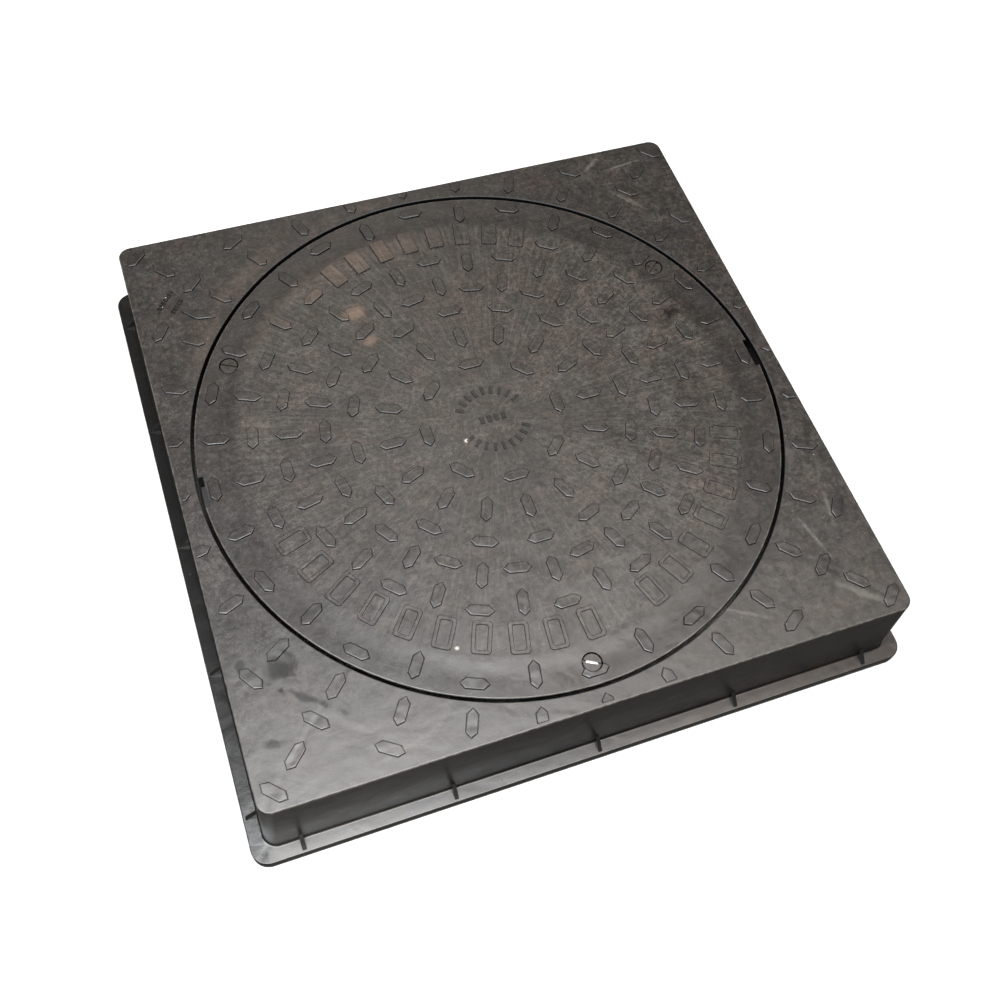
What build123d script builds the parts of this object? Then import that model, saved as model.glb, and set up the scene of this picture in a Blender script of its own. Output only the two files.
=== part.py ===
"""Square inspection chamber cover: moulded frame, seat ring, round screwed-down lid, seal and screws.

Millimetres. The origin is the centre of the footprint, on the underside of the foot flange. +Z is up,
X runs along the front edge of the frame and Y from the front edge to the rear edge.
"""
import os
from math import cos, hypot, radians, sin

from build123d import *

# ---- frame: tread plate, skirt and foot flange ----
PLATE_HALF = 250.0          # half the side of the square tread plate
PLATE_TOP = 84.0            # height of the tread plate above the flange's underside
PLATE_THICKNESS = 5.0
PLATE_CORNER_R = 10.0
PLATE_EDGE_R = 1.2
SKIRT_FOOT_HALF = 254.0     # the skirt leans outwards on its way down
SKIRT_FOOT_CORNER_R = 10.5
SKIRT_WALL = 4.0
FLANGE_HALF = 264.5
FLANGE_CORNER_R = 13.0
FLANGE_TOP = 10.0
FLANGE_WEB = 4.0            # thickness of the flange's flat part
FLANGE_LIP = 3.5            # thickness of the turned-down lip at its edge
FLANGE_EDGE_R = 0.8
FOOT_FILLET_R = 1.5
GUSSET_PITCH = 114.0
GUSSETS_EACH_SIDE = 5
GUSSET_THICKNESS = 3.0
GUSSET_HEIGHT = 9.0
GUSSET_REACH = 262.5        # half side at which a gusset runs out on the flange

# ---- round opening in the frame; seat ledge, spigot and screw bosses of the seat ring ----
OPENING_R = 236.0
OPENING_EDGE_R = 0.8
SEAT_TOP = 66.0
SEAT_THICKNESS = 5.0
SEAT_OUTER_R = 240.0
SPIGOT_R = 224.0            # slides into the 450 mm bore of a chamber riser
SPIGOT_WALL = 3.5
BOSS_R = 11.0
BOSS_BOTTOM = 36.0

# ---- frame: webs under the tread plate ----
WEB_THICKNESS = 3.0
WEB_BOTTOM = 16.0
RING_WEB_RADII = (275.0, 310.0)

# ---- spokes shared by the tread pattern and the ribs ----
SPOKES = 32
SPOKE_STEP = 360.0 / SPOKES
RING_PITCH = 28.0

# ---- tread lugs: long hexagons ----
LUG_LENGTH = 22.4
LUG_WIDTH = 8.9
LUG_POINT = 4.3             # length of each pointed end
LUG_HEIGHT = 1.5
LUG_SIDE = ((0.0, 0.0), (0.15, 1.05), (0.45, 1.35), (1.0, LUG_HEIGHT))   # (inset, height) up the side
LUG_ROOT = 1.5              # how far a lug reaches down into the plate
EVEN_SPOKE_LUG_R = 55.0     # innermost lug on every second spoke of the lid
EVEN_SPOKE_LUGS = 7
ODD_SPOKE_LUG_R = 132.8     # innermost lug on the spokes between
ODD_SPOKE_LUGS = 4
FRAME_LUG_INNER_R = 252.0
FRAME_LUG_PITCH = 27.5
FRAME_LUGS_EACH_SPOKE = 4
FRAME_LUG_MARGIN = 2.7      # bare strip at the plate's edge, where lugs are cut off
FRAME_LUG_SPAN = 253.5      # no lug is centred further out than this from the middle lines

# ---- lid ----
LID_R = 233.3
LID_TOP = 83.5
LID_PLATE = 5.0
LID_EDGE_R = 0.8
LID_CROWN_R = 202.0         # the flat middle ends here
LID_TROUGH_R = 214.0
LID_TROUGH_DROP = 0.4
LID_RIM_DROP = 0.15
LID_RIM_WALL = 4.0
LID_RIM_BOTTOM = 68.5
LID_RIB = 3.0
LID_RIB_BOTTOM = 50.0
LID_OUTER_RIB_BOTTOM = 70.0
LID_RING_RIBS = (50.0, 100.0, 150.0, 200.0)
LID_HUB_R = 12.0

# ---- lifting notches in the lid's rim ----
NOTCH_FACE = 229.2          # distance of the notch's flat inner face from the lid's axis
NOTCH_WIDTH = 27.0
NOTCH_POCKET = 35.0         # width of the thick pad behind the notch
NOTCH_POCKET_WALL = 4.5

# ---- lock screws, washers and inserts ----
SCREW_CIRCLE_R = 216.5
SCREW_PLACES = {
    # name: (angle round the lid, angle of the driver slot)
    "front": (270.0, -28.0),
    "rear_left": (150.0, -27.0),
    "rear_right": (30.0, 39.0),
}
SLEEVE_R = 10.5
SLEEVE_BOTTOM = 66.3
RECESS_R = 7.8
RECESS_FLOOR = 75.0
SHANK_HOLE_R = 4.4
WASHER_BOTTOM = 75.1
WASHER_THICKNESS = 1.2
WASHER_HOLE_R = 4.05
HEAD_R = 7.0
HEAD_BOTTOM = 76.4
HEAD_TOP = 83.1
HEAD_CHAMFER = 0.5
SLOT_WIDTH = 1.8
SLOT_DEPTH = 2.2
THREAD_R = 4.0
THREAD_CORE_R = 3.4
THREAD_PITCH = 3.0
THREAD_TURNS = 8
SHANK_LENGTH = 7.2          # plain length under the head
SCREW_TIP = 2.0
INSERT_R = 6.05             # 0.05 mm oversize: pressed into its boss
INSERT_BORE_R = 4.05
INSERT_LENGTH = 20.0
INSERT_GROOVES = 4
INSERT_GROOVE_DEPTH = 0.5
BOSS_BORE_R = 6.0

# ---- lid seal ----
SEAL_INNER_R = 228.0
SEAL_OUTER_R = 233.5
SEAL_HEIGHT = 2.2

# ---- raised marks, all blank ----
MARK_ROOT = 1.0
MARK_CHAMFER = 0.4
MARKED_ARCS = ((195.0, 345.0), (62.0, 118.0))     # a row of marks takes the place of lugs here
MARKED_BAND = (180.0, 200.0)
BLOCK_COUNT = 8
BLOCK_R = 192.0
BLOCK_STEP = 7.25
BLOCK_SIZE = (13.0, 23.0)
BLOCK_HEIGHT = 1.6
BLOCK_CORNER_R = 1.5
PANEL_SLOTS = 18            # one slot in the row stays empty
PANEL_GAP = 10
PANEL_R = 188.0
PANEL_START = 198.5
PANEL_STEP = 8.3
PANEL_SIZE = (15.0, 26.0)
PANEL_LINE = 3.2
PANEL_HEIGHT = 0.7
TICK_R = 27.0
TICK_SIZE = (2.6, 7.0)
TICK_HEIGHT = 1.0
TICK_STEP = 15.0
TICKS_EACH_ARC = 9
PAD_COUNT = 4
PAD_SIZE = (3.6, 6.0)
PAD_PITCH = 6.0
DOT_SIZE = (1.9, 3.6)
DOT_PITCH = 3.3
DOT_HEIGHT = 1.0
DOT_ROWS = ((-223.3, 184.5, 8), (-214.5, 177.2, 5))     # x, y and count of each row in the corner
DOT_ROW_ANGLE = 51.0
PLAQUE_AT = (-199.5, 164.2)
PLAQUE_SIZE = (28.6, 9.8)
PLAQUE_POINT = 12.8
PLAQUE_ANGLE = -29.0


def polar(r, angle):
    """X and Y of a point on a circle about the Z axis."""
    return r * cos(radians(angle)), r * sin(radians(angle))


def rounded_square(half, corner_r, z):
    """Face of a square with rounded corners at height z."""
    return Pos(0, 0, z) * RectangleRounded(2 * half, 2 * half, corner_r)


def tube(outer_r, inner_r, bottom, top):
    """Upright ring about the Z axis."""
    face = Circle(outer_r) - Circle(inner_r)
    return extrude(Pos(0, 0, bottom) * face, top - bottom)


def rod(r, bottom, top, at=(0.0, 0.0)):
    """Upright cylinder."""
    return extrude(Pos(at[0], at[1], bottom) * Circle(r), top - bottom)


def bar(size, bottom, top, at=(0.0, 0.0), turn=0.0):
    """Upright box with a given footprint, turned about its own middle."""
    return extrude(Pos(at[0], at[1], bottom) * Rot(0, 0, turn) * Rectangle(*size), top - bottom)


def skirt_half(z):
    """Half the outside width of the skirt at height z."""
    return SKIRT_FOOT_HALF + (PLATE_HALF - SKIRT_FOOT_HALF) * z / PLATE_TOP


def screw_at(name):
    """X and Y of a lock screw's axis."""
    return polar(SCREW_CIRCLE_R, SCREW_PLACES[name][0])


# ---- tread pattern ----
def hexagon(length, width, point, z):
    """Long hexagon with pointed ends on the X axis."""
    half = length / 2
    side = width / 2
    corners = [(half, 0), (half - point, side), (point - half, side)]
    corners += [(-x, -y) for x, y in corners]
    return Pos(0, 0, z) * make_face(Polyline(*corners, close=True))


def raised_hexagon(length, width, point, root):
    """Hexagonal lug standing on z = 0: its sides lean in more and more towards the flat top."""
    sections = [hexagon(length, width, point, -root)]
    for inset, z in LUG_SIDE:
        sections.append(hexagon(length - 2 * inset, width - 2 * inset, point, z))
    return loft(sections, ruled=True)


def in_arc(angle, start, end):
    """True if an angle in degrees lies between start and end, going anticlockwise."""
    return (angle - start) % 360 <= (end - start) % 360


def lid_lug_spots():
    """(radius, angle, radial) of each lug on the lid, without those that the marks displace."""
    spots = []
    for spoke in range(SPOKES):
        angle = spoke * SPOKE_STEP
        marked = any(in_arc(angle, start, end) for start, end in MARKED_ARCS)
        if spoke % 2 == 0:
            first_r, count = EVEN_SPOKE_LUG_R, EVEN_SPOKE_LUGS
        else:
            first_r, count = ODD_SPOKE_LUG_R, ODD_SPOKE_LUGS
        for k in range(count):
            r = first_r + RING_PITCH * k
            crowded = k == 0 and spoke % 4 == 2
            displaced = marked and MARKED_BAND[0] < r < MARKED_BAND[1]
            if not (crowded or displaced):
                spots.append((r, angle, k % 2 == 1))
    return spots


def frame_lug_spots():
    """(radius, angle, radial) of each lug on the frame's tread plate."""
    spots = []
    for spoke in range(SPOKES):
        angle = spoke * SPOKE_STEP
        for k in range(FRAME_LUGS_EACH_SPOKE):
            r = FRAME_LUG_INNER_R + FRAME_LUG_PITCH * k
            x, y = polar(r, angle)
            if max(abs(x), abs(y)) < FRAME_LUG_SPAN:
                spots.append((r, angle, k % 2 == 0))
    return spots


def lugs(spots, surface_height):
    """Lugs standing on a surface whose height depends on the radius."""
    lug = raised_hexagon(LUG_LENGTH, LUG_WIDTH, LUG_POINT, LUG_ROOT)
    placed = []
    for r, angle, radial in spots:
        x, y = polar(r, angle)
        turn = angle if radial else angle + 90
        placed.append(Pos(x, y, surface_height(r)) * Rot(0, 0, turn) * lug)
    return placed


# ---- blank marks ----
def raised(outline, height):
    """A flat outline as a raised mark, rooted in the plate, with chamfered upper edges."""
    mark = extrude(outline, MARK_ROOT + height)
    return chamfer(mark.faces().sort_by(Axis.Z)[-1].edges(), MARK_CHAMFER)


def lid_blocks():
    """A row of blank raised blocks along the rear of the lid."""
    block = raised(RectangleRounded(*BLOCK_SIZE, BLOCK_CORNER_R), BLOCK_HEIGHT)
    place = Pos(0, BLOCK_R, LID_TOP - MARK_ROOT)
    middle = (BLOCK_COUNT - 1) / 2
    return [Rot(0, 0, (middle - i) * BLOCK_STEP) * place * block for i in range(BLOCK_COUNT)]


def lid_panels():
    """A row of blank outlined panels along the front of the lid."""
    width, height = PANEL_SIZE
    inside = RectangleRounded(width - 2 * PANEL_LINE, height - 2 * PANEL_LINE, BLOCK_CORNER_R)
    outline = RectangleRounded(width, height, 2 * BLOCK_CORNER_R) - inside
    panel = raised(outline, PANEL_HEIGHT)
    place = Pos(0, -PANEL_R, LID_TOP - MARK_ROOT)
    slots = [i for i in range(PANEL_SLOTS) if i != PANEL_GAP]
    return [Rot(0, 0, PANEL_START + i * PANEL_STEP + 90) * place * panel for i in slots]


def lid_ticks():
    """Two arcs of ticks round the middle of the lid, and a row of pads across it."""
    marks = []
    for middle in (90, 270):
        for i in range(TICKS_EACH_ARC):
            angle = middle + (i - (TICKS_EACH_ARC - 1) / 2) * TICK_STEP
            x, y = polar(TICK_R, angle)
            top = LID_TOP + TICK_HEIGHT
            marks.append(bar(TICK_SIZE, LID_TOP - MARK_ROOT, top, (x, y), angle - 90))
    for i in range(PAD_COUNT):
        x = (i - (PAD_COUNT - 1) / 2) * PAD_PITCH
        marks.append(bar(PAD_SIZE, LID_TOP - MARK_ROOT, LID_TOP + TICK_HEIGHT, (x, 0)))
    return marks


def frame_marks():
    """Two rows of small dashes and a blank hexagonal plaque near the rear left corner."""
    marks = []
    for row_x, row_y, count in DOT_ROWS:
        for i in range(count):
            along = (i - (count - 1) / 2) * DOT_PITCH
            x = row_x + along * cos(radians(DOT_ROW_ANGLE))
            y = row_y + along * sin(radians(DOT_ROW_ANGLE))
            top = PLATE_TOP + DOT_HEIGHT
            marks.append(bar(DOT_SIZE, PLATE_TOP - MARK_ROOT, top, (x, y), DOT_ROW_ANGLE))
    plaque = raised_hexagon(*PLAQUE_SIZE, PLAQUE_POINT, LUG_ROOT)
    marks.append(Pos(*PLAQUE_AT, PLATE_TOP) * Rot(0, 0, PLAQUE_ANGLE) * plaque)
    return marks


# ---- frame ----
def frame_shell():
    """Tread plate, leaning skirt and foot flange, with the round opening."""
    outside = loft([rounded_square(SKIRT_FOOT_HALF, SKIRT_FOOT_CORNER_R, 0),
                    rounded_square(PLATE_HALF, PLATE_CORNER_R, PLATE_TOP)], ruled=True)
    outside = fillet(outside.faces().sort_by(Axis.Z)[-1].edges(), PLATE_EDGE_R)
    flange = extrude(rounded_square(FLANGE_HALF, FLANGE_CORNER_R, 0), FLANGE_TOP)
    flange = fillet(flange.faces().sort_by(Axis.Z)[-1].edges(), FLANGE_EDGE_R)
    shell = outside + flange
    foot_half = skirt_half(FLANGE_TOP)
    foot_edges = [edge for edge in shell.edges()
                  if abs(edge.bounding_box().min.Z - FLANGE_TOP) < 0.01
                  and abs(edge.bounding_box().max.Z - FLANGE_TOP) < 0.01
                  and max(abs(edge.center().X), abs(edge.center().Y)) < foot_half + 0.5]
    shell = fillet(foot_edges, FOOT_FILLET_R)
    lip_inside = rounded_square(FLANGE_HALF - FLANGE_LIP, FLANGE_CORNER_R - FLANGE_LIP, 0)
    channel = lip_inside - rounded_square(SKIRT_FOOT_HALF, SKIRT_FOOT_CORNER_R, 0)
    shell -= extrude(channel, FLANGE_TOP - FLANGE_WEB)
    shell -= cavity(SKIRT_WALL)
    shell -= rod(OPENING_R, SEAT_TOP, PLATE_TOP + 1)
    rim = [edge for edge in shell.edges().filter_by(GeomType.CIRCLE)
           if abs(edge.radius - OPENING_R) < 0.01 and abs(edge.center().Z - PLATE_TOP) < 0.01]
    return fillet(rim, OPENING_EDGE_R)


def cavity(wall):
    """Space under the tread plate, inside a skirt of the given wall thickness."""
    ceiling = PLATE_TOP - PLATE_THICKNESS
    low = rounded_square(SKIRT_FOOT_HALF - wall, SKIRT_FOOT_CORNER_R - wall + 1, 0)
    high = rounded_square(skirt_half(ceiling) - wall, PLATE_CORNER_R - wall + 1, ceiling)
    return loft([low, high], ruled=True)


def gussets():
    """Small triangular gussets that brace the flange against the skirt."""
    middle = (GUSSETS_EACH_SIDE - 1) / 2
    low = skirt_half(0) - SKIRT_WALL / 2
    inner_foot = (low, FLANGE_TOP - 1)
    outer_foot = (GUSSET_REACH, FLANGE_TOP - 1)
    toe = (GUSSET_REACH, FLANGE_TOP + 0.5)
    shoulder = (skirt_half(FLANGE_TOP + GUSSET_HEIGHT), FLANGE_TOP + GUSSET_HEIGHT)
    inner_top = (low, FLANGE_TOP + GUSSET_HEIGHT)
    profile = make_face(Polyline(inner_foot, outer_foot, toe, shoulder, inner_top, close=True))
    gusset = extrude(Plane.XZ * profile, GUSSET_THICKNESS / 2, both=True)
    placed = []
    for side in range(4):
        for i in range(GUSSETS_EACH_SIDE):
            placed.append(Rot(0, 0, 90 * side) * Pos(0, (i - middle) * GUSSET_PITCH, 0) * gusset)
    return placed


def under_webs():
    """Radial webs on every spoke and ring webs in the corners, between the opening and the skirt."""
    length = hypot(PLATE_HALF, PLATE_HALF) - SEAT_OUTER_R + 1
    ceiling = PLATE_TOP - PLATE_THICKNESS
    webs = []
    for spoke in range(SPOKES):
        angle = spoke * SPOKE_STEP
        centre = polar(SEAT_OUTER_R - 1 + length / 2, angle)
        webs.append(bar((length, WEB_THICKNESS), WEB_BOTTOM, ceiling, centre, angle))
    for r in RING_WEB_RADII:
        webs.append(tube(r + WEB_THICKNESS / 2, r - WEB_THICKNESS / 2, WEB_BOTTOM, ceiling))
    clip = cavity(SKIRT_WALL / 2) - rod(SEAT_OUTER_R, 0, ceiling)
    grid = webs[0] + webs[1:]
    return (grid & clip).solids()


def frame():
    """The square frame as one moulding."""
    opening_wall = tube(SEAT_OUTER_R, OPENING_R, SEAT_TOP, PLATE_TOP - PLATE_THICKNESS + 1)
    body = frame_shell() + opening_wall + under_webs() + gussets()
    inner = PLATE_HALF - FRAME_LUG_MARGIN
    window = extrude(rounded_square(inner, PLATE_CORNER_R, PLATE_TOP - LUG_ROOT), 2 * LUG_ROOT + LUG_HEIGHT)
    tread = [lug & window for lug in lugs(frame_lug_spots(), lambda r: PLATE_TOP)]
    return body + tread + frame_marks()


# ---- seat ring ----
def seat_ring():
    """Ledge that carries the seal, with the spigot and the screw bosses below it."""
    spigot_inner = SPIGOT_R - SPIGOT_WALL
    ring = tube(SEAT_OUTER_R, spigot_inner, SEAT_TOP - SEAT_THICKNESS, SEAT_TOP)
    ring += tube(SPIGOT_R, spigot_inner, 0, SEAT_TOP)
    for name in SCREW_PLACES:
        boss = rod(BOSS_R, BOSS_BOTTOM, SEAT_TOP, screw_at(name))
        ring += boss & rod(SPIGOT_R - SPIGOT_WALL / 2, BOSS_BOTTOM, SEAT_TOP)
    for name in SCREW_PLACES:
        ring -= rod(BOSS_BORE_R, SEAT_TOP - INSERT_LENGTH, SEAT_TOP + 1, screw_at(name))
        ring -= rod(SHANK_HOLE_R, BOSS_BOTTOM - 1, SEAT_TOP, screw_at(name))
    return ring


# ---- lid ----
def lid_surface(r):
    """Rough height of the lid's top at a radius, for setting lugs on it."""
    if r <= LID_CROWN_R:
        return LID_TOP
    return LID_TOP - (LID_TROUGH_DROP + LID_RIM_DROP) / 2


def lid_shell():
    """Round plate with a flat middle, a shallow trough, a rounded edge and a rim wall."""
    underside = LID_TOP - LID_PLATE
    rim_top = LID_TOP - LID_RIM_DROP
    rim_r = LID_R - LID_EDGE_R
    inner_r = LID_R - LID_RIM_WALL
    middle = Polyline((0, underside), (0, LID_TOP), (LID_CROWN_R, LID_TOP))
    trough = Spline((LID_CROWN_R, LID_TOP), (LID_TROUGH_R, LID_TOP - LID_TROUGH_DROP), (rim_r, rim_top),
                    tangents=((1, 0), (1, 0)))
    bend = RadiusArc((rim_r, rim_top), (LID_R, rim_top - LID_EDGE_R), LID_EDGE_R)
    wall = Polyline((LID_R, rim_top - LID_EDGE_R), (LID_R, LID_RIM_BOTTOM),
                    (inner_r, LID_RIM_BOTTOM), (inner_r, underside), (0, underside))
    profile = make_face(Curve() + [middle, trough, bend, wall])
    return revolve(Plane.XZ * profile, Axis.Z)


def lid_ribs():
    """Ring ribs, a hub and radial ribs that double in number towards the rim."""
    top = LID_TOP - LID_PLATE + 1
    ribs = [rod(LID_HUB_R, LID_RIB_BOTTOM, top)]
    for r in LID_RING_RIBS:
        ribs.append(tube(r + LID_RIB / 2, r - LID_RIB / 2, LID_RIB_BOTTOM, top))
    outer_ring = LID_RING_RIBS[-1]
    starts = {1: LID_RING_RIBS[1], 2: LID_RING_RIBS[0], 4: LID_HUB_R - 1}
    for spoke in range(SPOKES):
        angle = spoke * SPOKE_STEP
        step = 4 if spoke % 4 == 0 else 2 if spoke % 2 == 0 else 1
        start = starts[step]
        length = outer_ring - start
        ribs.append(bar((length, LID_RIB), LID_RIB_BOTTOM, top, polar(start + length / 2, angle), angle))
        length = LID_R - LID_RIM_WALL / 2 - outer_ring
        middle = polar(outer_ring + length / 2, angle)
        ribs.append(bar((length, LID_RIB), LID_OUTER_RIB_BOTTOM, top, middle, angle))
    return ribs


def lid():
    """The round lid as one moulding."""
    top = LID_TOP - LID_PLATE + 1
    body = lid_shell() + lid_ribs()
    body += [rod(SLEEVE_R, SLEEVE_BOTTOM, top, screw_at(name)) for name in SCREW_PLACES]
    pad_inner = NOTCH_FACE - NOTCH_POCKET_WALL
    pad_depth = LID_R - LID_EDGE_R - pad_inner
    pad_middle = pad_inner + pad_depth / 2
    disc = rod(LID_R - LID_EDGE_R, LID_RIM_BOTTOM, top)
    for side in (-1, 1):
        pad = bar((pad_depth, NOTCH_POCKET), LID_RIM_BOTTOM, top, (side * pad_middle, 0))
        body += pad & disc
    body += lugs(lid_lug_spots(), lid_surface) + lid_blocks() + lid_panels() + lid_ticks()
    for side in (-1, 1):
        notch_middle = side * (NOTCH_FACE + LID_RIM_WALL)
        body -= bar((2 * LID_RIM_WALL, NOTCH_WIDTH), LID_RIM_BOTTOM - 1, PLATE_TOP + 2, (notch_middle, 0))
    for name in SCREW_PLACES:
        body -= rod(RECESS_R, RECESS_FLOOR, PLATE_TOP + 2, screw_at(name))
        body -= rod(SHANK_HOLE_R, SLEEVE_BOTTOM - 1, RECESS_FLOOR + 1, screw_at(name))
    return body


# ---- small pieces ----
def lid_seal():
    """Rubber ring with rounded upper edges, lying on the seat ledge."""
    middle = (SEAL_INNER_R + SEAL_OUTER_R) / 2
    width = SEAL_OUTER_R - SEAL_INNER_R
    section = Pos(middle, SEAT_TOP + SEAL_HEIGHT / 2) * Rectangle(width, SEAL_HEIGHT)
    ring = revolve(Plane.XZ * section, Axis.Z)
    return fillet(ring.faces().sort_by(Axis.Z)[-1].edges(), SEAL_HEIGHT / 3)


def screw(name):
    """Slotted round-head screw; ring ridges stand for the thread."""
    slot_turn = SCREW_PLACES[name][1]
    shank_start = HEAD_BOTTOM - SHANK_LENGTH
    thread_end = shank_start - THREAD_TURNS * THREAD_PITCH
    outline = [(0, thread_end - SCREW_TIP), (THREAD_CORE_R - SCREW_TIP / 2, thread_end - SCREW_TIP)]
    for turn in range(THREAD_TURNS):
        z = thread_end + turn * THREAD_PITCH
        outline += [(THREAD_CORE_R, z), (THREAD_R, z + 0.25 * THREAD_PITCH)]
        outline += [(THREAD_R, z + 0.5 * THREAD_PITCH), (THREAD_CORE_R, z + 0.75 * THREAD_PITCH)]
    outline += [(THREAD_CORE_R, shank_start), (THREAD_R, shank_start + 1), (THREAD_R, HEAD_BOTTOM)]
    outline += [(HEAD_R, HEAD_BOTTOM), (HEAD_R, HEAD_TOP - HEAD_CHAMFER)]
    outline += [(HEAD_R - HEAD_CHAMFER, HEAD_TOP), (0, HEAD_TOP)]
    body = revolve(Plane.XZ * make_face(Polyline(*outline, close=True)), Axis.Z)
    body -= bar((2 * HEAD_R + 1, SLOT_WIDTH), HEAD_TOP - SLOT_DEPTH, HEAD_TOP + 1, turn=slot_turn)
    return Pos(*screw_at(name), 0) * body


def washer(name):
    """Nylon washer under a screw's head."""
    ring = tube(HEAD_R, WASHER_HOLE_R, WASHER_BOTTOM, WASHER_BOTTOM + WASHER_THICKNESS)
    return Pos(*screw_at(name), 0) * ring


def insert(name):
    """Grooved brass insert, flush with the top of its boss."""
    bottom = SEAT_TOP - INSERT_LENGTH
    ring = tube(INSERT_R, INSERT_BORE_R, bottom, SEAT_TOP)
    band = INSERT_LENGTH / (2 * INSERT_GROOVES + 1)
    for i in range(INSERT_GROOVES):
        z = bottom + (2 * i + 1) * band
        ring -= tube(INSERT_R + 1, INSERT_R - INSERT_GROOVE_DEPTH, z, z + band)
    return Pos(*screw_at(name), 0) * ring


def main():
    """Write one STEP file for each piece."""
    os.makedirs("parts", exist_ok=True)
    pieces = {"frame": frame(), "seat_ring": seat_ring(), "lid": lid(), "lid_seal": lid_seal()}
    for name in SCREW_PLACES:
        pieces[f"screw_{name}"] = screw(name)
        pieces[f"washer_{name}"] = washer(name)
        pieces[f"insert_{name}"] = insert(name)
    for name, piece in pieces.items():
        export_step(piece, f"parts/{name}.step")


main()
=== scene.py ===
"""Looks of the square chamber cover: dusty, scratched black plastic, steel, nylon, brass and rubber."""
from math import pi, radians

import bpy
from mathutils import Matrix, Vector


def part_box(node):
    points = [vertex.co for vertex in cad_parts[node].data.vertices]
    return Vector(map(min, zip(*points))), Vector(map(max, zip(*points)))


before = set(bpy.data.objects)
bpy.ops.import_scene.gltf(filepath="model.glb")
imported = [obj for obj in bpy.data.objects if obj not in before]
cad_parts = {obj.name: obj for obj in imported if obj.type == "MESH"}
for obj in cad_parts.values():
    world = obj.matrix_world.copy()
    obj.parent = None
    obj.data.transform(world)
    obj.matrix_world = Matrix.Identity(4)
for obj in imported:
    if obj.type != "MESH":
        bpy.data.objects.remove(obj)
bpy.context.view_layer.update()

MM = 0.001

# ---- measures in metres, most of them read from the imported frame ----
FRAME_LOW, FRAME_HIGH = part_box("frame")
LID_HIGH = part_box("lid")[1]
LUG_HEIGHT = 0.0015
PLATE_TOP = FRAME_HIGH.z - LUG_HEIGHT
LID_TOP = LID_HIGH.z - LUG_HEIGHT
LID_R = LID_HIGH.y
OPENING_R = LID_R + 0.0027      # round opening of the frame
CROWN_R = LID_R * 0.87          # radius of the lid's flat middle
PLATE_HALF = 0.250
SKIRT_FOOT_HALF = 0.2525        # half width of the skirt where it meets the foot flange
FLANGE_REACH = 0.012            # what looks up below this height is foot flange
RING_WEB_R = 0.275              # ring web under the frame's corners
BLOCK_ROW_IN_R = 0.176          # the lid's rear row of blocks lies between these two radii
BLOCK_ROW_OUT_R = 0.2065
HUB_MARKS_R = 0.036             # the ticks round the hub lie inside this radius
SCRAPED_DEPTH = 0.0032          # the front screw's slot is not deeper than this
SCREW_NAMES = ("front", "rear_left", "rear_right")

# ---- camera ----
CAMERA_AT = Vector((-0.2137, -0.4502, 0.8460))
CAMERA_AIM = Vector((-0.0195, -0.0723, 0.0840))
CAMERA_ROLL = 8.89              # degrees
LENS = 40.96                    # mm
SENSOR_WIDTH = 36.0             # mm

# ---- light and floor ----
LIGHT_HEIGHT = 2.1
FLOOR_HALF = 6.0
SKY_BELOW = 0.12
SKY_ABOVE = 0.071
# Height on the sky ball, where 0.5 is the horizon and 1 straight up, and brightness there.
SKY_STOPS = ((0.46, 0.12), (0.50, 0.234), (0.575, 0.234), (0.69, 0.152), (0.80, 0.071))

# ---- plastic ----
SMOOTHEST = 0.278               # roughness of the cleanest parts
SMOOTH = 0.30                   # roughness of the rest, before dirt
ROUGHEST = 0.9                  # no amount of dirt makes it rougher
PLASTIC_IOR = 1.49

# ---- marks on the treads: x, y, length and width in mm, turn in degrees ----
PALE_SCRATCHES = ((226, -150, 46, 5, 80), (203, -176, 50, 4, 105), (216, -228, 66, 9, -40),
                  (178, 236, 34, 6, 38), (205, 228, 56, 3.5, 8), (196, 186, 44, 7, -50),
                  (-150, -236, 60, 6, 12), (120, -214, 60, 5, -30))
MUDDY_RUBS = ((-35, 241, 36, 12, 5), (-150, 196, 110, 24, 38), (-200, 136, 100, 20, 60))
PALE_GRAINS = ((-27, -14, 5, 4, 0), (-89, -177, 4.5, 4, 0))
LID_SMEAR = (182, 60, 22, 15, 10)
# The last number is the roughness that the smear adds.
DARK_SMEARS = ((-210, -155, 40, 30, 20, 0.50), (-229, -205, 24, 10, 0, 0.30),
               (-238, -146, 22, 14, 60, 0.40), (-200, -180, 70, 8, -38, 0.35),
               (234, -157, 38, 26, 80, 0.0), (206, -196, 36, 26, 100, 0.0), (204, 70, 24, 18, 10, 0.0))
# The last number is how thick the mud lies.
MUD_PATCHES = ((-77, 131, 26, 22, 0, 0.30), (-72, 101, 18, 15, 20, 0.25),
               (-128, 158, 110, 26, 40, 0.04), (-162, 122, 90, 22, 55, 0.035),
               (-88, 176, 110, 30, 25, 0.04), (-30, 188, 110, 24, 8, 0.035), (-179, 47, 38, 28, 80, 0.05))

# ---- other places on plan, in mm ----
FRONT_LEFT_CORNER = (-215, -262)
DASHES_AT = (-219, 183)
MUDDY_BLOCKS_AT = (-75, 185)


# ---- colours ----
def colour(r, g, b):
    return (r, g, b, 1.0)


def warm_grey(level):
    return colour(1.06 * level, level, 0.91 * level)


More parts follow.
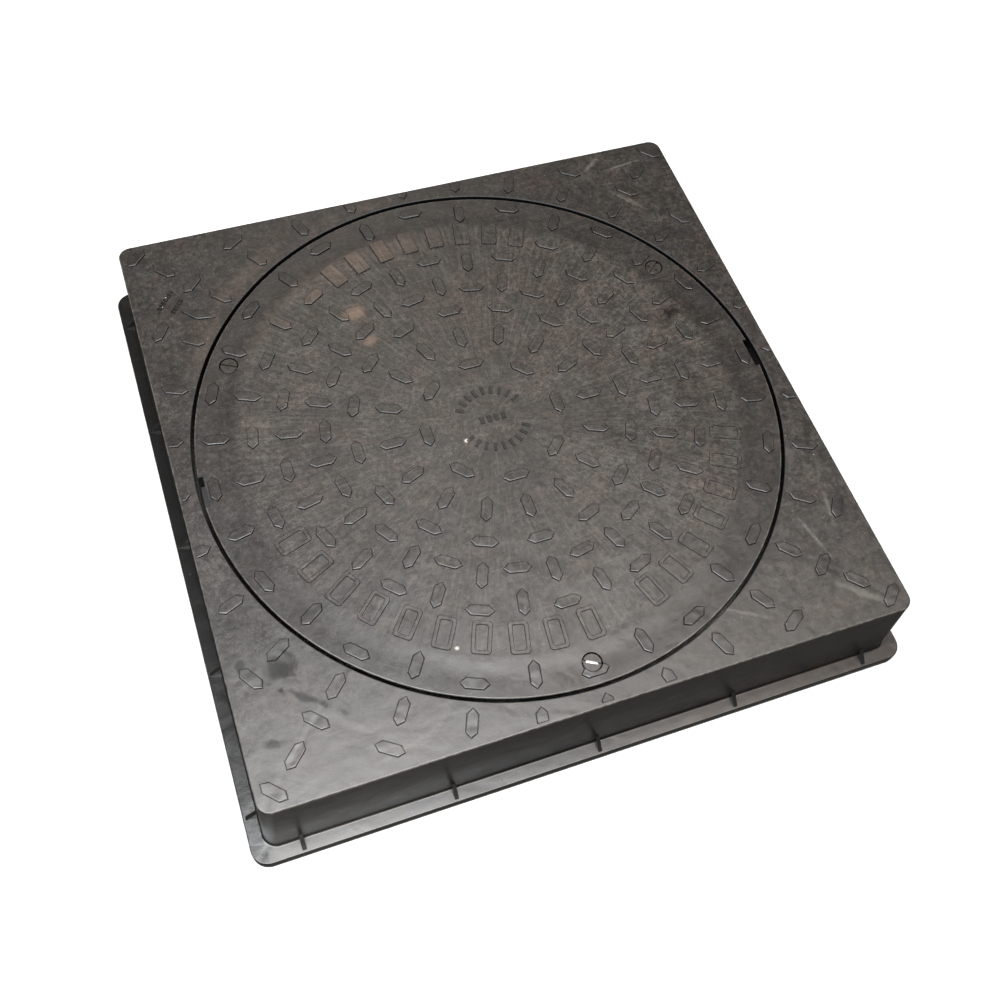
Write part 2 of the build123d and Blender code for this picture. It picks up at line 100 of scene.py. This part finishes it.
CLEAN_BLACK = colour(0.0042, 0.0038, 0.0035)
WARM_DUST = colour(0.215, 0.135, 0.098)
COOL_DUST = colour(0.150, 0.143, 0.120)
# Pale dust and grit; on the corner dashes this colour is painted highlight, standing for glints.
PALE_DUST_AND_GLINTS = colour(0.32, 0.290, 0.250)
MUD = colour(0.160, 0.100, 0.065)
# Soot and dark smears, and also painted shade: round the lug feet, on the hub ticks and in the gap round
# the lid.
SOOT_AND_SHADE = colour(0.0025, 0.0025, 0.0025)
RUBBER = colour(0.010, 0.010, 0.011)
RUBBER_BLOOM = colour(0.028, 0.026, 0.024)
STEEL_DARK = colour(0.028, 0.025, 0.022)
STEEL_LIGHT = colour(0.058, 0.052, 0.046)
STEEL_SCRAPED = colour(0.62, 0.60, 0.56)
# Grime on the screws, also painted shade in their crevices.
GRIME_AND_SHADE = colour(0.012, 0.009, 0.007)
NYLON = colour(0.20, 0.18, 0.14)
NYLON_STAINED = colour(0.10, 0.08, 0.055)
BRASS = colour(0.40, 0.27, 0.10)
BRASS_TARNISHED = colour(0.16, 0.10, 0.04)
FLOOR_DARK = colour(0.40, 0.40, 0.40)
FLOOR_LIGHT = colour(0.42, 0.42, 0.42)
NEUTRAL_LIGHT = (1.0, 1.0, 1.0)
COOL_LIGHT = (0.97, 1.0, 1.03)
WARM_LIGHT = (1.10, 1.0, 0.91)
WARM_REAR_LIGHT = (1.08, 1.0, 0.91)


# ---- node graph helper ----
class Graph:
    """Short names for the shader nodes of one material. Lengths are in metres unless it says mm."""

    def __init__(self, name):
        self.material = bpy.data.materials.new(name)
        self.material.use_nodes = True
        self.tree = self.material.node_tree
        self.shader = self.tree.nodes["Principled BSDF"]
        self.coords = self.node("ShaderNodeTexCoord").outputs["Object"]
        self.x, self.y, self.z = self.split(self.coords)
        self.plan = self.join(self.x, self.y, 0.0)

    def node(self, kind, **settings):
        made = self.tree.nodes.new(kind)
        for key, value in settings.items():
            setattr(made, key, value)
        return made

    def put(self, socket, value):
        """Link a socket or set a plain value."""
        if isinstance(value, bpy.types.NodeSocket):
            self.tree.links.new(value, socket)
        else:
            socket.default_value = value

    def put_on_shader(self, name, value):
        self.put(self.shader.inputs[name], value)

    def fill(self, made, values):
        """Put values on a node's first inputs, in order."""
        for socket, value in zip(made.inputs, values):
            self.put(socket, value)
        return made

    def math(self, operation, *values):
        made = self.node("ShaderNodeMath", operation=operation)
        return self.fill(made, values).outputs[0]

    def add(self, a, b):
        return self.math("ADD", a, b)

    def less(self, a, b):
        return self.math("SUBTRACT", a, b)

    def mul(self, *values):
        total = values[0]
        for value in values[1:]:
            total = self.math("MULTIPLY", total, value)
        return total

    def most(self, *values):
        total = values[0]
        for value in values[1:]:
            total = self.math("MAXIMUM", total, value)
        return total

    def invert(self, value):
        return self.less(1.0, value)

    def size(self, value):
        return self.math("ABSOLUTE", value)

    def step(self, value, low, high, out_low=0.0, out_high=1.0):
        """Smooth step from out_low at low to out_high at high."""
        made = self.node("ShaderNodeMapRange", interpolation_type="SMOOTHSTEP")
        return self.fill(made, (value, low, high, out_low, out_high)).outputs[0]

    def blend(self, factor, a, b):
        """Mix two colours."""
        made = self.node("ShaderNodeMix", data_type="RGBA")
        self.put(made.inputs["Factor"], factor)
        self.put(made.inputs[6], a)
        self.put(made.inputs[7], b)
        return made.outputs[2]

    def split(self, vector):
        return self.fill(self.node("ShaderNodeSeparateXYZ"), (vector,)).outputs

    def join(self, x, y, z):
        return self.fill(self.node("ShaderNodeCombineXYZ"), (x, y, z)).outputs[0]

    def mapped(self, vector, move=(0, 0, 0), turn=0.0, scale=(1, 1, 1)):
        """Coordinates that are scaled, turned about z by some degrees and moved."""
        made = self.node("ShaderNodeMapping")
        self.put(made.inputs["Vector"], vector)
        made.inputs["Location"].default_value = move
        made.inputs["Rotation"].default_value = (0, 0, radians(turn))
        made.inputs["Scale"].default_value = scale
        return made.outputs[0]

    def noise(self, size, detail=4.0, rough=0.55, warp=0.0, seed=0.0, at=None):
        """Noise with features of about one size; runs around 0.5."""
        made = self.node("ShaderNodeTexNoise", noise_dimensions="3D")
        space = self.coords if at is None else at
        self.put(made.inputs["Vector"], self.mapped(space, move=(seed, 2 * seed, 3 * seed)))
        made.inputs["Scale"].default_value = 1.0 / size
        made.inputs["Detail"].default_value = detail
        made.inputs["Roughness"].default_value = rough
        made.inputs["Distortion"].default_value = warp
        return made.outputs["Fac"]

    def spots(self, cell, radius, share, seed=0.0, soft=0.4):
        """Ragged round spots of a given radius, one in a share of the cells."""
        made = self.node("ShaderNodeTexVoronoi", voronoi_dimensions="3D")
        ragged = self.noise(radius, detail=2.0, seed=seed)
        self.put(made.inputs["Vector"], self.mapped(self.coords, move=(seed, seed, seed)))
        made.inputs["Scale"].default_value = 1.0 / cell
        pick = self.split(made.outputs["Color"])[0]
        reach = self.add(made.outputs["Distance"], self.mul(self.add(ragged, -0.5), 0.8 * radius / cell))
        near = self.step(reach, radius / cell, soft * radius / cell)
        return self.mul(near, self.math("LESS_THAN", pick, share))

    def bump(self, height, depth, normal=None):
        """Bump of a height that runs from 0 to 1 and stands for a depth."""
        made = self.node("ShaderNodeBump")
        made.inputs["Strength"].default_value = 1.0
        made.inputs["Distance"].default_value = depth
        self.put(made.inputs["Height"], height)
        if normal is not None:
            self.put(made.inputs["Normal"], normal)
        return made.outputs[0]

    def facing_up(self, low=0.6, high=0.95):
        """1 where the surface looks up, 0 where it looks sideways or down."""
        geometry = self.node("ShaderNodeNewGeometry")
        return self.step(self.split(geometry.outputs["True Normal"])[2], low, high)

    def crevice(self, reach):
        """1 in tight inside corners, 0 in the open."""
        made = self.node("ShaderNodeAmbientOcclusion", samples=4)
        made.inputs["Distance"].default_value = reach
        return self.step(made.outputs["AO"], 0.92, 0.55)

    def length(self, vector):
        made = self.node("ShaderNodeVectorMath", operation="LENGTH")
        return self.fill(made, (vector,)).outputs["Value"]

    def distance_to(self, x, y):
        """Distance on plan from a place in mm."""
        made = self.node("ShaderNodeVectorMath", operation="DISTANCE")
        return self.fill(made, (self.plan, (x * MM, y * MM, 0.0))).outputs["Value"]

    def patch(self, place, broken):
        """Long patch on plan, broken up by a 0 to 1 pattern. The place is as in the lists of marks."""
        x, y, length, width, turn = place
        made = self.node("ShaderNodeMapping", vector_type="TEXTURE")
        self.put(made.inputs["Vector"], self.plan)
        made.inputs["Location"].default_value = (x * MM, y * MM, 0.0)
        made.inputs["Rotation"].default_value = (0.0, 0.0, radians(turn))
        made.inputs["Scale"].default_value = (length * MM / 2, width * MM / 2, 1.0)
        ragged = self.mul(self.add(broken, -0.5), 2.2)
        return self.step(self.add(self.length(made.outputs[0]), ragged), 1.05, 0.10)


# ---- layers shared by the plastic mouldings ----
class Plastic(Graph):
    """Black moulded polypropylene: layers of dirt, roughness and bump, put on one after another."""

    def __init__(self, name, seed, top):
        super().__init__(name)
        self.seed = seed
        self.r = self.length(self.plan)
        self.up = self.facing_up()
        self.tread = self.mul(self.up, self.step(self.z, top - 3.0 * MM, top - 1.0 * MM))
        self.lug_tops = self.step(self.z, top + 0.45 * LUG_HEIGHT, top + 0.8 * LUG_HEIGHT)
        self.cloud = self.noise(60 * MM, detail=5.0, rough=0.6, warp=0.6, seed=seed)
        self.base = CLEAN_BLACK
        self.rough = self.step(self.cloud, 0.34, 0.68, SMOOTHEST, SMOOTH)
        self.normal = None

    def cover(self, mask, tint, amount, rougher=0.0):
        """Lay a thin film of another colour over what is there."""
        self.base = self.blend(self.mul(mask, amount), self.base, tint)
        if rougher:
            self.rough = self.add(self.rough, self.mul(mask, rougher))

    def mark(self, place, broken, tint, amount, rougher=0.0):
        """Cover one patch of the tread."""
        self.cover(self.mul(self.tread, self.patch(place, broken)), tint, amount, rougher)

    def emboss(self, height, depth):
        """Raise, or sink by a negative depth, what the height marks."""
        self.normal = self.bump(height, depth, self.normal)

    def finish(self):
        self.put_on_shader("Base Color", self.base)
        self.put_on_shader("Roughness", self.math("MINIMUM", self.rough, ROUGHEST))
        self.put_on_shader("Normal", self.normal)
        self.put_on_shader("IOR", PLASTIC_IOR)
        return self.material


def dust_film(g, where, amount):
    """Film of dust on the tread, thicker and thinner at several scales, warm and cool in patches."""
    hue = g.noise(30 * MM, detail=6.0, rough=0.62, warp=0.5, seed=g.seed + 2)
    tint = g.blend(g.step(hue, 0.36, 0.66, 0.17, 0.83), COOL_DUST, WARM_DUST)
    broad = g.step(g.cloud, 0.30, 0.72, 0.68, 1.18)
    blotches = g.noise(11 * MM, detail=5.0, rough=0.66, warp=0.3, seed=g.seed + 11)
    middle = g.step(blotches, 0.30, 0.70, 0.58, 1.42)
    mottle = g.noise(3.4 * MM, detail=3.0, rough=0.65, seed=g.seed + 5)
    grain = g.noise(1.1 * MM, detail=2.0, rough=0.6, seed=g.seed + 13)
    fine = g.mul(g.step(mottle, 0.32, 0.68, 0.35, 1.85), g.step(grain, 0.32, 0.68, 0.45, 1.7))
    wiped = g.invert(g.mul(g.lug_tops, 0.3))
    g.cover(g.mul(g.tread, where, g.mul(broad, middle, fine, wiped)), tint, amount, 0.05)


def scratches(g, turns=(3.0, 11.0, 64.0, 118.0, 157.0)):
    """Fine straight scratches in several directions, broken into patches."""
    layers = []
    for i, turn in enumerate(turns):
        stretched = g.mapped(g.coords, turn=turn, scale=(0.035, 1.0, 1.0))
        fine = g.noise(1.5 * MM, detail=2.0, rough=0.7, seed=g.seed + 4 + i, at=stretched)
        patch = g.step(g.noise(32 * MM, detail=2.0, seed=g.seed + 11 + i), 0.48, 0.66)
        layers.append(g.mul(g.step(fine, 0.56, 0.74), patch))
    return g.mul(g.most(*layers), g.up)


def specks(g):
    """Soft pale blots and a few small bright grains of grit."""
    wide = g.spots(13 * MM, 2.0 * MM, 0.30, g.seed + 1, 0.1)
    small = g.spots(7 * MM, 1.0 * MM, 0.28, g.seed + 3, 0.1)
    g.cover(g.mul(g.tread, g.most(wide, small)), PALE_DUST_AND_GLINTS, 0.05, 0.03)
    g.cover(g.mul(g.up, g.spots(10 * MM, 0.55 * MM, 0.35, g.seed + 4)), PALE_DUST_AND_GLINTS, 0.22, 0.1)
    g.cover(g.mul(g.up, g.spots(27 * MM, 0.75 * MM, 0.15, g.seed + 6)), PALE_DUST_AND_GLINTS, 0.6, 0.2)


def tread_weathering(g, where, amount):
    """Dust, wiped and scratched places, grit, grime and painted shade round the lugs, and an uneven
    moulded surface.
    """
    dust_film(g, where, amount)
    wiped = g.noise(19 * MM, detail=3.0, rough=0.55, warp=0.7, seed=g.seed + 17)
    g.rough = g.add(g.rough, g.mul(g.tread, g.step(wiped, 0.25, 0.75, 0.0, 0.065)))
    marks = scratches(g)
    g.cover(marks, PALE_DUST_AND_GLINTS, 0.030, 0.02)
    specks(g)
    # Painted shade: the inside corners round the lug feet are darkened, partly as grime and partly as the
    # shade that falls there.
    g.cover(g.mul(g.crevice(0.9 * MM), g.invert(g.lug_tops)), SOOT_AND_SHADE, 0.4, 0.1)
    lug_edges = g.mul(g.lug_tops, g.facing_up(0.988, 0.975))
    g.rough = g.add(g.rough, g.mul(lug_edges, 0.12))
    g.emboss(g.noise(30 * MM, detail=1.5, warp=0.8, seed=g.seed + 8), 0.42 * MM)
    g.emboss(wiped, 0.12 * MM)
    g.emboss(g.noise(9 * MM, detail=3.0, seed=g.seed + 9), 0.13 * MM)
    g.emboss(g.mul(g.noise(8 * MM, detail=0.0, seed=g.seed + 14), g.lug_tops), 0.35 * MM)
    g.emboss(g.noise(0.9 * MM, detail=2.0, rough=0.6, seed=g.seed + 10), 0.010 * MM)
    g.emboss(g.invert(marks), 0.008 * MM)


def worn_line(g, distance, reach):
    """Broken pale wear within reach of an edge, given the distance to that edge."""
    chips = g.step(g.noise(6 * MM, detail=4.0, rough=0.7, seed=g.seed + 31), 0.36, 0.62, 0.25, 1.0)
    g.cover(g.mul(g.step(distance, reach, 0.3 * reach), chips), PALE_DUST_AND_GLINTS, 0.16, 0.05)


# ---- frame ----
def flange_dirt(g):
    """Dusty front of the foot flange, its dark left side, and a haze round the front left corner."""
    flange = g.mul(g.up, g.step(g.z, FLANGE_REACH + 2 * MM, FLANGE_REACH))
    along = g.mapped(g.coords, scale=(0.25, 1.0, 1.0))
    streaks = g.noise(6 * MM, detail=5.0, rough=0.68, seed=61.0, at=along)
    edge = (-SKIRT_FOOT_HALF, -SKIRT_FOOT_HALF - 1.5 * MM)
    front = g.mul(flange, g.step(g.y, *edge))
    g.cover(g.mul(front, g.step(streaks, 0.35, 0.68, 0.3, 1.4)), WARM_DUST, 0.030, 0.05)
    left = g.step(g.x, *edge)
    g.cover(g.mul(flange, left), SOOT_AND_SHADE, 0.5, -0.04)
    haze = g.mul(g.step(g.distance_to(*FRONT_LEFT_CORNER), 170 * MM, 10 * MM), g.invert(left))
    g.cover(g.mul(haze, g.step(streaks, 0.30, 0.70, 0.5, 1.5)), PALE_DUST_AND_GLINTS, 0.035)
    g.cover(g.mul(haze, front), PALE_DUST_AND_GLINTS, 0.04)


def wall_grit(g):
    """A few pale grains on everything below the plate."""
    low = g.step(g.z, PLATE_TOP - 4 * MM, PLATE_TOP - 9 * MM)
    g.cover(g.mul(low, g.spots(9 * MM, 0.7 * MM, 0.22, 41.0)), PALE_DUST_AND_GLINTS, 0.28, 0.1)


def frame_marks(g):
    """Dark smears, pale scratches and traces of mud on the frame's tread."""
    broken = g.noise(7 * MM, detail=7.0, rough=0.76, warp=0.3, seed=21.0)
    smeared = g.noise(13 * MM, detail=2.0, rough=0.5, warp=0.8, seed=23.0)
    for *place, rougher in DARK_SMEARS:
        g.mark(place, smeared, SOOT_AND_SHADE, 0.80, rougher)
    for place in PALE_SCRATCHES:
        g.mark(place, broken, PALE_DUST_AND_GLINTS, 0.075, 0.05)
    for place in MUDDY_RUBS:
        g.mark(place, broken, MUD, 0.06, 0.06)


def dash_gloss(g):
    """The rows of dashes in the rear left corner are dark and smooth, with a few bright glints painted on
    as highlights.
    """
    near = g.step(g.distance_to(*DASHES_AT), 15 * MM, 11 * MM)
    dashes = g.mul(near, g.step(g.z, PLATE_TOP + 0.2 * MM, PLATE_TOP + 0.4 * MM))
    g.cover(dashes, SOOT_AND_SHADE, 0.9, -0.12)
    # Painted highlights: small pale spots on the dashes stand in for glints of light.
    g.cover(g.mul(dashes, g.spots(4.5 * MM, 0.9 * MM, 0.35, 51.0)), PALE_DUST_AND_GLINTS, 0.9, 0.2)


def opening_painted_shade(g):
    """The opening's edge is dull and dark, and the wall below it smooth and dark: painted shade in the
    gap.
    """
    opening = g.mul(g.step(g.r, OPENING_R + 1.6 * MM, OPENING_R + 1.2 * MM),
                    g.step(g.z, PLATE_TOP - 0.02 * MM, PLATE_TOP - 0.10 * MM))
    below = g.step(g.z, PLATE_TOP - 0.6 * MM, PLATE_TOP - 0.8 * MM)
    # Painted shade: the opening's edge and the wall in the gap are near black, standing for the shade
    # down in the gap.
    g.cover(opening, SOOT_AND_SHADE, 0.95, 0.45)
    g.cover(g.mul(opening, below), SOOT_AND_SHADE, 0.95, -0.57)


def sink_marks(g):
    """Shallow grooves in the plate over the ring web and the diagonal webs."""
    ring = g.size(g.less(g.r, RING_WEB_R))
    diagonal = g.size(g.less(g.size(g.x), g.size(g.y)))
    groove = g.step(g.math("MINIMUM", ring, diagonal), 6 * MM, 0.0)
    g.emboss(g.mul(groove, g.step(g.cloud, 0.38, 0.62, 0.4, 1.0)), -0.08 * MM)


def frame_plastic():
    g = Plastic("frame_plastic", 1.3, PLATE_TOP)
    tread_weathering(g, 1.0, 0.033)
    flange_dirt(g)
    wall_grit(g)
    frame_marks(g)
    dash_gloss(g)
    opening_painted_shade(g)
    from_edge = g.size(g.less(PLATE_HALF, g.most(g.size(g.x), g.size(g.y))))
    under_edge = g.step(g.z, PLATE_TOP - 1.5 * MM, PLATE_TOP - 2.5 * MM)
    worn_line(g, g.add(from_edge, under_edge), 1.3 * MM)
    sink_marks(g)
    return g.finish()


# ---- lid ----
def flow_marks(g, inner):
    """Pale streaks that run out from the hub, where the plastic flowed in the mould."""
    safe = g.most(g.r, MM)
    around = [g.mul(g.math("DIVIDE", side, safe), 0.15) for side in (g.x, g.y)]
    flow = g.noise(2.0 * MM, detail=4.0, rough=0.65, seed=1.9, at=g.join(*around, g.mul(g.r, 0.07)))
    g.cover(g.mul(inner, g.tread, g.step(flow, 0.46, 0.70)), PALE_DUST_AND_GLINTS, 0.038, 0.02)
    return flow


def lid_marks(g):
    """Mud at the rear left, two pale grains, a dark smear, and mud on part of the row of blocks."""
    broken = g.noise(7 * MM, detail=7.0, rough=0.76, warp=0.3, seed=22.0)
    for *place, amount in MUD_PATCHES:
        g.mark(place, broken, MUD, amount, 0.08)
    for place in PALE_GRAINS:
        g.mark(place, broken, PALE_DUST_AND_GLINTS, 0.9, 0.2)
    smeared = g.noise(13 * MM, detail=2.0, rough=0.5, warp=0.8, seed=24.0)
    g.mark(LID_SMEAR, smeared, SOOT_AND_SHADE, 0.80, -0.12)
    block_row = g.mul(g.step(g.r, BLOCK_ROW_IN_R, BLOCK_ROW_IN_R + 4 * MM),
                      g.step(g.r, BLOCK_ROW_OUT_R, BLOCK_ROW_OUT_R - 2 * MM))
    muddy = g.step(g.distance_to(*MUDDY_BLOCKS_AT), 0.120, 0.03)
    g.cover(g.mul(g.lug_tops, block_row, muddy, g.step(broken, 0.3, 0.6, 0.4, 1.0)), MUD, 0.10, 0.06)


def lid_dark_parts(g):
    """Ticks round the hub, darkened as dirt and painted shade, and the lid's edge down in the gap,
    painted near black as shade.
    """
    hub_marks = g.mul(g.step(g.r, HUB_MARKS_R, HUB_MARKS_R - 2 * MM),
                      g.step(g.z, LID_TOP + 0.1 * MM, LID_TOP + 0.3 * MM))
    # Painted shade and dirt: the hub ticks are darkened as if both dirty and shaded.
    g.cover(hub_marks, SOOT_AND_SHADE, 0.9, -0.15)
    # Painted shade: the lid's edge down in the gap is made near black, standing for the shade in the gap.
    gap_painted_shade = g.mul(g.step(g.r, LID_R - 0.4 * MM, LID_R - 0.1 * MM),
                   g.step(g.z, LID_TOP - 0.9 * MM, LID_TOP - 2.2 * MM))
    g.cover(gap_painted_shade, SOOT_AND_SHADE, 0.95, -0.12)


def lid_plastic():
    g = Plastic("lid_plastic", 5.7, LID_TOP)
    uneven_r = g.add(g.r, g.mul(g.add(g.cloud, -0.5), 0.03))
    inner = g.step(uneven_r, CROWN_R + 4 * MM, CROWN_R - 6 * MM)
    tread_weathering(g, g.add(g.mul(inner, 0.5), 0.5), 0.046)
    flow = flow_marks(g, inner)
    lid_marks(g)
    lid_dark_parts(g)
    under_edge = g.step(g.z, LID_TOP - 1.4 * MM, LID_TOP - 2.2 * MM)
    worn_line(g, g.add(g.less(LID_R, g.r), under_edge), 1.3 * MM)
    g.emboss(flow, 0.022 * MM)
    return g.finish()


# ---- small parts ----
def seal_rubber():
    """Matt black rubber with a grey bloom."""
    g = Graph("seal_rubber")
    bloom = g.noise(9 * MM, detail=6.0, rough=0.65, seed=2.2)
    g.put_on_shader("Base Color", g.blend(g.step(bloom, 0.4, 0.7), RUBBER, RUBBER_BLOOM))
    g.put_on_shader("Roughness", g.step(bloom, 0.3, 0.7, 0.62, 0.85))
    g.put_on_shader("Normal", g.bump(g.noise(0.5 * MM, detail=3.0), 0.03 * MM))
    return g.material


def screw_steel():
    """Dull steel under brown grime, with painted shade in its crevices; the front screw's slot has been
    scraped bright.
    """
    g = Graph("screw_steel")
    low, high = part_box("screw_front")
    slot_floor = high.z - SCRAPED_DEPTH
    rust = g.noise(4 * MM, detail=8.0, rough=0.7, seed=0.7)
    brushed = g.noise(0.4 * MM, detail=3.0, at=g.mapped(g.coords, turn=20.0, scale=(1.0, 0.05, 1.0)))
    metal = g.blend(brushed, STEEL_DARK, STEEL_LIGHT)
    # Grime where the rust noise says, and painted shade in the crevices, darkening them like the shade
    # that falls there.
    screw_grime_and_shade = g.most(g.step(rust, 0.34, 0.56), g.crevice(1.5 * MM))
    from_centre = g.distance_to(*((low + high) / 2 / MM).xy)
    in_slot = g.mul(g.step(g.z, high.z - 0.2 * MM, high.z - 0.4 * MM),
                    g.step(g.z, slot_floor - 0.4 * MM, slot_floor))
    scraped = g.mul(g.step(from_centre, 4.8 * MM, 3.8 * MM), in_slot)
    bare = g.mul(scraped, g.step(rust, 0.38, 0.50, 0.35, 1.0))
    g.put_on_shader("Base Color", g.blend(bare, g.blend(screw_grime_and_shade, metal, GRIME_AND_SHADE), STEEL_SCRAPED))
    g.put_on_shader("Metallic", g.invert(screw_grime_and_shade))
    g.put_on_shader("Roughness", g.add(g.mul(screw_grime_and_shade, 0.10), g.step(brushed, 0.3, 0.7, 0.26, 0.36)))
    g.put_on_shader("Normal", g.bump(brushed, 0.01 * MM, normal=g.bump(rust, 0.10 * MM)))
    return g.material


def washer_nylon():
    """Natural nylon, stained brown in places."""
    g = Graph("washer_nylon")
    stain = g.noise(5 * MM, detail=6.0, rough=0.65, seed=3.9)
    g.put_on_shader("Base Color", g.blend(g.step(stain, 0.4, 0.7), NYLON, NYLON_STAINED))
    g.put_on_shader("Roughness", g.step(stain, 0.3, 0.7, 0.38, 0.55))
    g.put_on_shader("Normal", g.bump(g.noise(0.6 * MM, detail=2.0), 0.02 * MM))
    g.put_on_shader("Subsurface Weight", 0.15)
    return g.material


def insert_brass():
    """Brass with brown tarnish."""
    g = Graph("insert_brass")
    tarnish = g.noise(4 * MM, detail=6.0, rough=0.6, seed=8.1)
    g.put_on_shader("Base Color", g.blend(g.step(tarnish, 0.4, 0.7), BRASS, BRASS_TARNISHED))
    g.put_on_shader("Metallic", 1.0)
    g.put_on_shader("Roughness", g.step(tarnish, 0.3, 0.7, 0.28, 0.5))
    g.put_on_shader("Normal", g.bump(tarnish, 0.03 * MM))
    return g.material


def dress(node, material):
    """Give a CAD node its material."""
    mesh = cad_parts[node].data
    mesh.materials.clear()
    mesh.materials.append(material)


def dress_all():
    moulding = frame_plastic()
    dress("frame", moulding)
    dress("seat_ring", moulding)
    dress("lid", lid_plastic())
    dress("lid_seal", seal_rubber())
    steel = screw_steel()
    nylon = washer_nylon()
    brass = insert_brass()
    for name in SCREW_NAMES:
        dress(f"screw_{name}", steel)
        dress(f"washer_{name}", nylon)
        dress(f"insert_{name}", brass)


# ---- floor, light and camera ----
def floor_material():
    g = Graph("floor_pale")
    tone = g.noise(600 * MM, detail=3.0)
    g.put_on_shader("Base Color", g.blend(tone, FLOOR_DARK, FLOOR_LIGHT))
    g.put_on_shader("Roughness", 0.9)
    g.put_on_shader("Normal", g.bump(g.noise(2 * MM, detail=3.0), 0.02 * MM))
    return g.material


def make_floor():
    """Pale ground. It stays out of glossy reflections, so the dark sides don't mirror it."""
    mesh = bpy.data.meshes.new("floor")
    half = FLOOR_HALF
    corners = [(-half, -half, 0), (half, -half, 0), (half, half, 0), (-half, half, 0)]
    mesh.from_pydata(corners, [], [(0, 1, 2, 3)])
    floor = bpy.data.objects.new("floor", mesh)
    bpy.context.scene.collection.objects.link(floor)
    floor.location.z = FRAME_LOW.z
    floor.visible_glossy = False
    mesh.materials.append(floor_material())


def softbox(name, x, y, width, depth, radiance, tint):
    """Rectangular light that hangs level, facing down."""
    data = bpy.data.lights.new(name, "AREA")
    data.shape = "RECTANGLE"
    data.size, data.size_y = width, depth
    data.energy = radiance * pi * width * depth
    data.color = tint
    light = bpy.data.objects.new(name, data)
    light.location = (x, y, LIGHT_HEIGHT)
    bpy.context.scene.collection.objects.link(light)


def make_lights():
    softbox("key_left", -0.73, -0.48, 2.12, 1.23, 23.0, COOL_LIGHT)
    softbox("fill_right", 0.47, -0.27, 1.53, 1.04, 8.9, WARM_LIGHT)
    softbox("fill_rear", 0.35, 1.59, 0.91, 1.82, 1.6, WARM_REAR_LIGHT)
    softbox("corner_glow", 0.05, 0.27, 0.70, 0.26, 8.0, NEUTRAL_LIGHT)


def make_world():
    """Studio walls: dim overhead, palest at the horizon, dim below it."""
    world = bpy.data.worlds.new("studio")
    bpy.context.scene.world = world
    world.use_nodes = True
    tree = world.node_tree
    coords = tree.nodes.new("ShaderNodeTexCoord")
    split = tree.nodes.new("ShaderNodeSeparateXYZ")
    height = tree.nodes.new("ShaderNodeMapRange")
    ramp = tree.nodes.new("ShaderNodeValToRGB")
    height.inputs["From Min"].default_value = -1.0
    tree.links.new(coords.outputs["Generated"], split.inputs[0])
    tree.links.new(split.outputs[2], height.inputs["Value"])
    tree.links.new(height.outputs[0], ramp.inputs["Fac"])
    tree.links.new(ramp.outputs["Color"], tree.nodes["Background"].inputs["Color"])
    stops = ramp.color_ramp.elements
    stops[0].position, stops[0].color = 0.0, warm_grey(SKY_BELOW)
    stops[1].position, stops[1].color = 1.0, warm_grey(SKY_ABOVE)
    for position, level in SKY_STOPS:
        stops.new(position).color = warm_grey(level)


def make_camera():
    data = bpy.data.cameras.new("camera")
    data.lens = LENS
    data.sensor_width = SENSOR_WIDTH
    data.clip_start = 0.01
    camera = bpy.data.objects.new("camera", data)
    look = (CAMERA_AIM - CAMERA_AT).to_track_quat("-Z", "Y").to_matrix()
    roll = Matrix.Rotation(radians(CAMERA_ROLL), 3, "Z")
    camera.matrix_world = Matrix.Translation(CAMERA_AT) @ (look @ roll).to_4x4()
    bpy.context.scene.collection.objects.link(camera)
    bpy.context.scene.camera = camera


make_camera()
make_world()
make_lights()
make_floor()
dress_all()
bpy.context.scene.view_settings.view_transform = "Standard"
